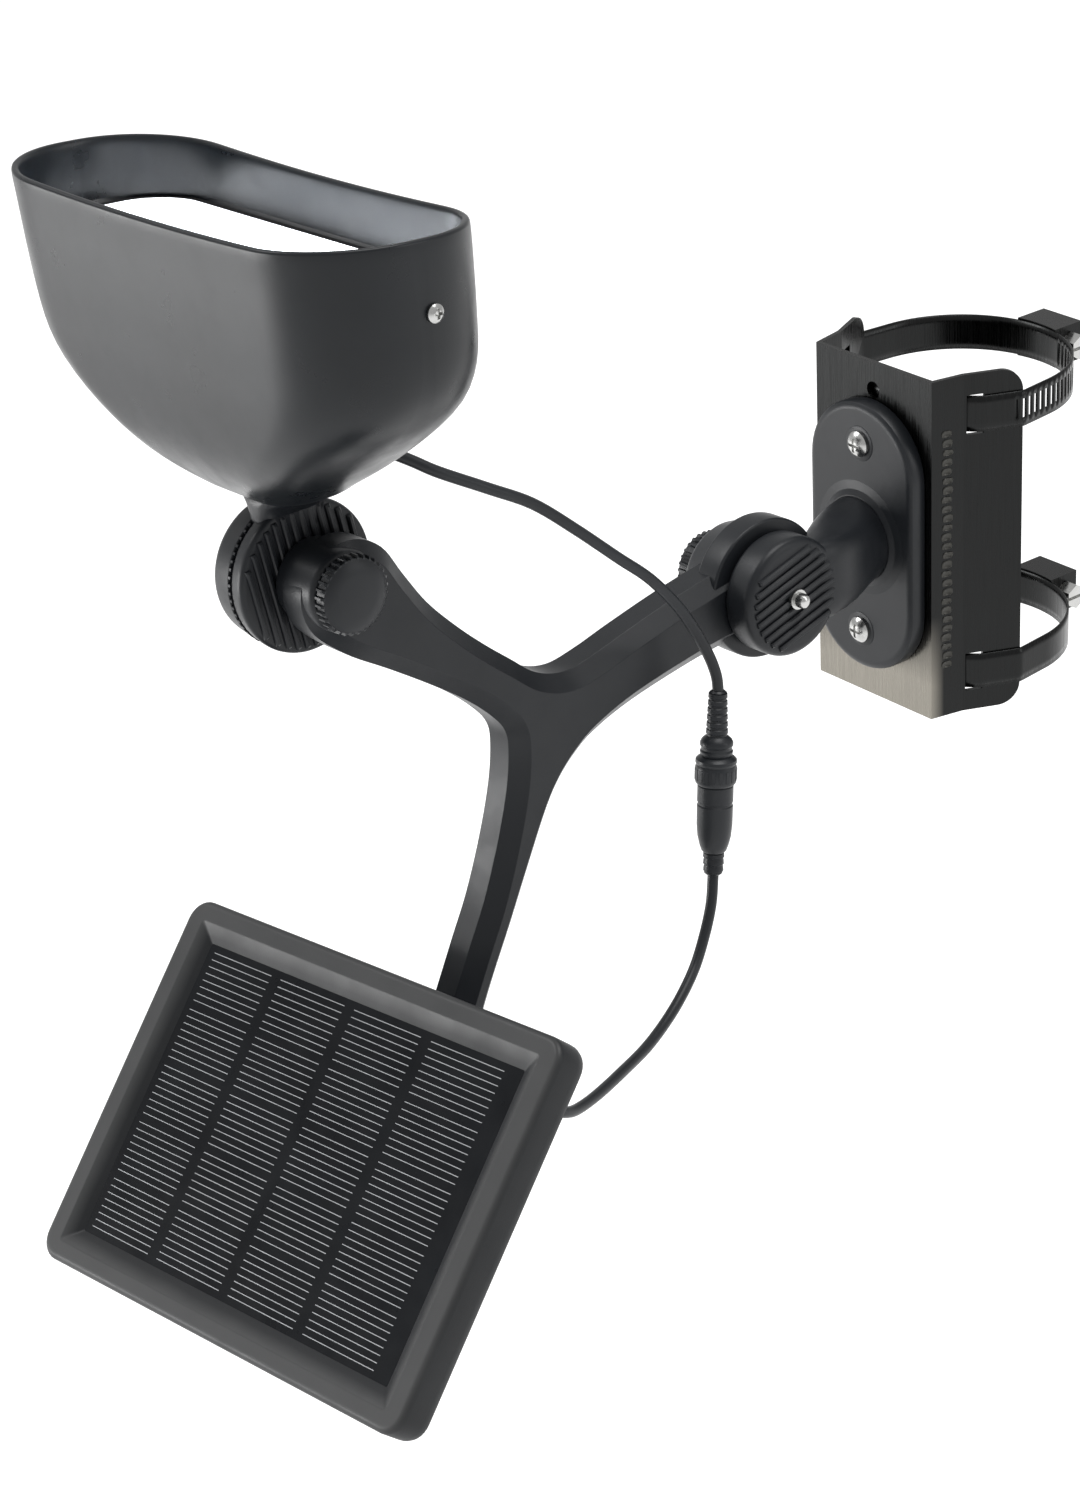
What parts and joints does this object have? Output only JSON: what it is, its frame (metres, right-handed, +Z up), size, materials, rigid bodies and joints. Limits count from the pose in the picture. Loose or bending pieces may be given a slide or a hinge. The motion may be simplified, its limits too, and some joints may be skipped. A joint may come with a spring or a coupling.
{
  "type": "solar street lamp",
  "caption": "Pole-mounted solar spot light: a steel strap bracket holds a Y arm with a hooded LED lamp above and a tilting solar panel below, joined by a plug-in lead.",
  "frame": {"origin": "axis of the pole that the bracket grips, halfway up the bracket", "axes": "+Z up the pole, -Y from the pole towards the lamp and the panel"},
  "size_m": [0.2206, 0.404, 0.3751],
  "materials": {
    "steel": "brushed stainless sheet",
    "fastener": "bright plated",
    "black_plastic": "satin moulded black",
    "hood_plastic": "satin moulded black",
    "rubber": "matt",
    "cable": "satin jacket",
    "lens": "clear, lightly frosted",
    "reflector": "white gloss",
    "board_white": "white solder mask",
    "led": "cool white light",
    "board_green": "green solder mask",
    "cell_wrap": "shrink sleeve",
    "solar": "dark cells under glass with fine silver fingers"
  },
  "bodies": {
    "bracket": {"pole_channel": "steel", "upper_band": "steel", "lower_band": "steel", "worm_housings": "steel", "base_plate": "black_plastic", "base_screws": "fastener"},
    "upper_worm": {"upper_worm_screw": "steel"},
    "lower_worm": {"lower_worm_screw": "steel"},
    "stem": {"stem": "black_plastic", "stem_nut": "fastener"},
    "mount_knob": {"mount_knob": "black_plastic", "mount_bolt": "fastener"},
    "y_arm": {"y_arm": "black_plastic", "lamp_lead": "cable", "lead_plug": "cable", "lead_socket": "cable", "panel_lead": "cable"},
    "lamp_head": {"lamp_foot": "black_plastic", "lamp_drum": "black_plastic", "lamp_joint_nut": "fastener", "foot_screws": "fastener", "lamp_hood": "hood_plastic", "hood_screws": "fastener", "lens": "lens", "lens_gasket": "rubber", "reflector": "reflector", "led_board": "board_white", "led_chips": "led", "battery_tray": "black_plastic", "battery_cell": "cell_wrap", "charge_board": "board_green", "lamp_gland": "black_plastic", "button_boot": "rubber"},
    "power_button": {"power_button": "black_plastic"},
    "lamp_knob": {"lamp_knob": "black_plastic", "lamp_bolt": "fastener"},
    "panel": {"panel_foot": "black_plastic", "panel_joint_nut": "fastener", "foot_bolts": "fastener", "panel_frame": "black_plastic", "panel_gasket": "rubber", "solar_cell": "solar", "panel_back": "black_plastic", "back_screws": "fastener", "panel_junction": "black_plastic", "panel_gland": "black_plastic"},
    "panel_knob": {"panel_knob": "black_plastic", "panel_bolt": "fastener"}
  },
  "joints": [
    {"name": "upper_worm_turn", "type": "hinge", "parent": "bracket", "child": "upper_worm", "pos_m": [0, 0.04505, 0.0475], "axis": [1, 0, 0], "continuous": true},
    {"name": "lower_worm_turn", "type": "hinge", "parent": "bracket", "child": "lower_worm", "pos_m": [0, 0.04505, -0.0475], "axis": [1, 0, 0], "continuous": true},
    {"name": "stem_swivel", "type": "hinge", "parent": "bracket", "child": "stem", "pos_m": [0, -0.0475, 0], "axis": [0, 1, 0], "range_deg": [-30, 30]},
    {"name": "mount_knob_turn", "type": "hinge", "parent": "stem", "child": "mount_knob", "pos_m": [0.00003, -0.0985, -0.0005], "axis": [0.9986, 0, 0.0523], "continuous": true},
    {"name": "mount_tilt", "type": "hinge", "parent": "stem", "child": "y_arm", "pos_m": [0.00003, -0.0985, -0.0005], "axis": [0.9986, 0, 0.0523], "range_deg": [-30, 35]},
    {"name": "lamp_tilt", "type": "hinge", "parent": "y_arm", "child": "lamp_head", "pos_m": [-0.00272, -0.268, 0.05193], "axis": [0.9986, 0, 0.0523], "range_deg": [-50, 50], "deforming": ["lamp_lead"]},
    {"name": "power_press", "type": "slide", "parent": "lamp_head", "child": "power_button", "axis": [0, -1, 0], "range_m": [0, 0.0015], "stiffness_N_per_m": 1200, "springref_m": -0.0008},
    {"name": "lamp_knob_turn", "type": "hinge", "parent": "y_arm", "child": "lamp_knob", "pos_m": [-0.00272, -0.268, 0.05193], "axis": [0.9986, 0, 0.0523], "continuous": true},
    {"name": "panel_tilt", "type": "hinge", "parent": "y_arm", "child": "panel", "pos_m": [0.00869, -0.258, -0.16577], "axis": [0.9986, 0, 0.0523], "range_deg": [-3, 45], "deforming": ["panel_lead"]},
    {"name": "panel_knob_turn", "type": "hinge", "parent": "y_arm", "child": "panel_knob", "pos_m": [0.00869, -0.258, -0.16577], "axis": [0.9986, 0, 0.0523], "continuous": true}
  ]
}
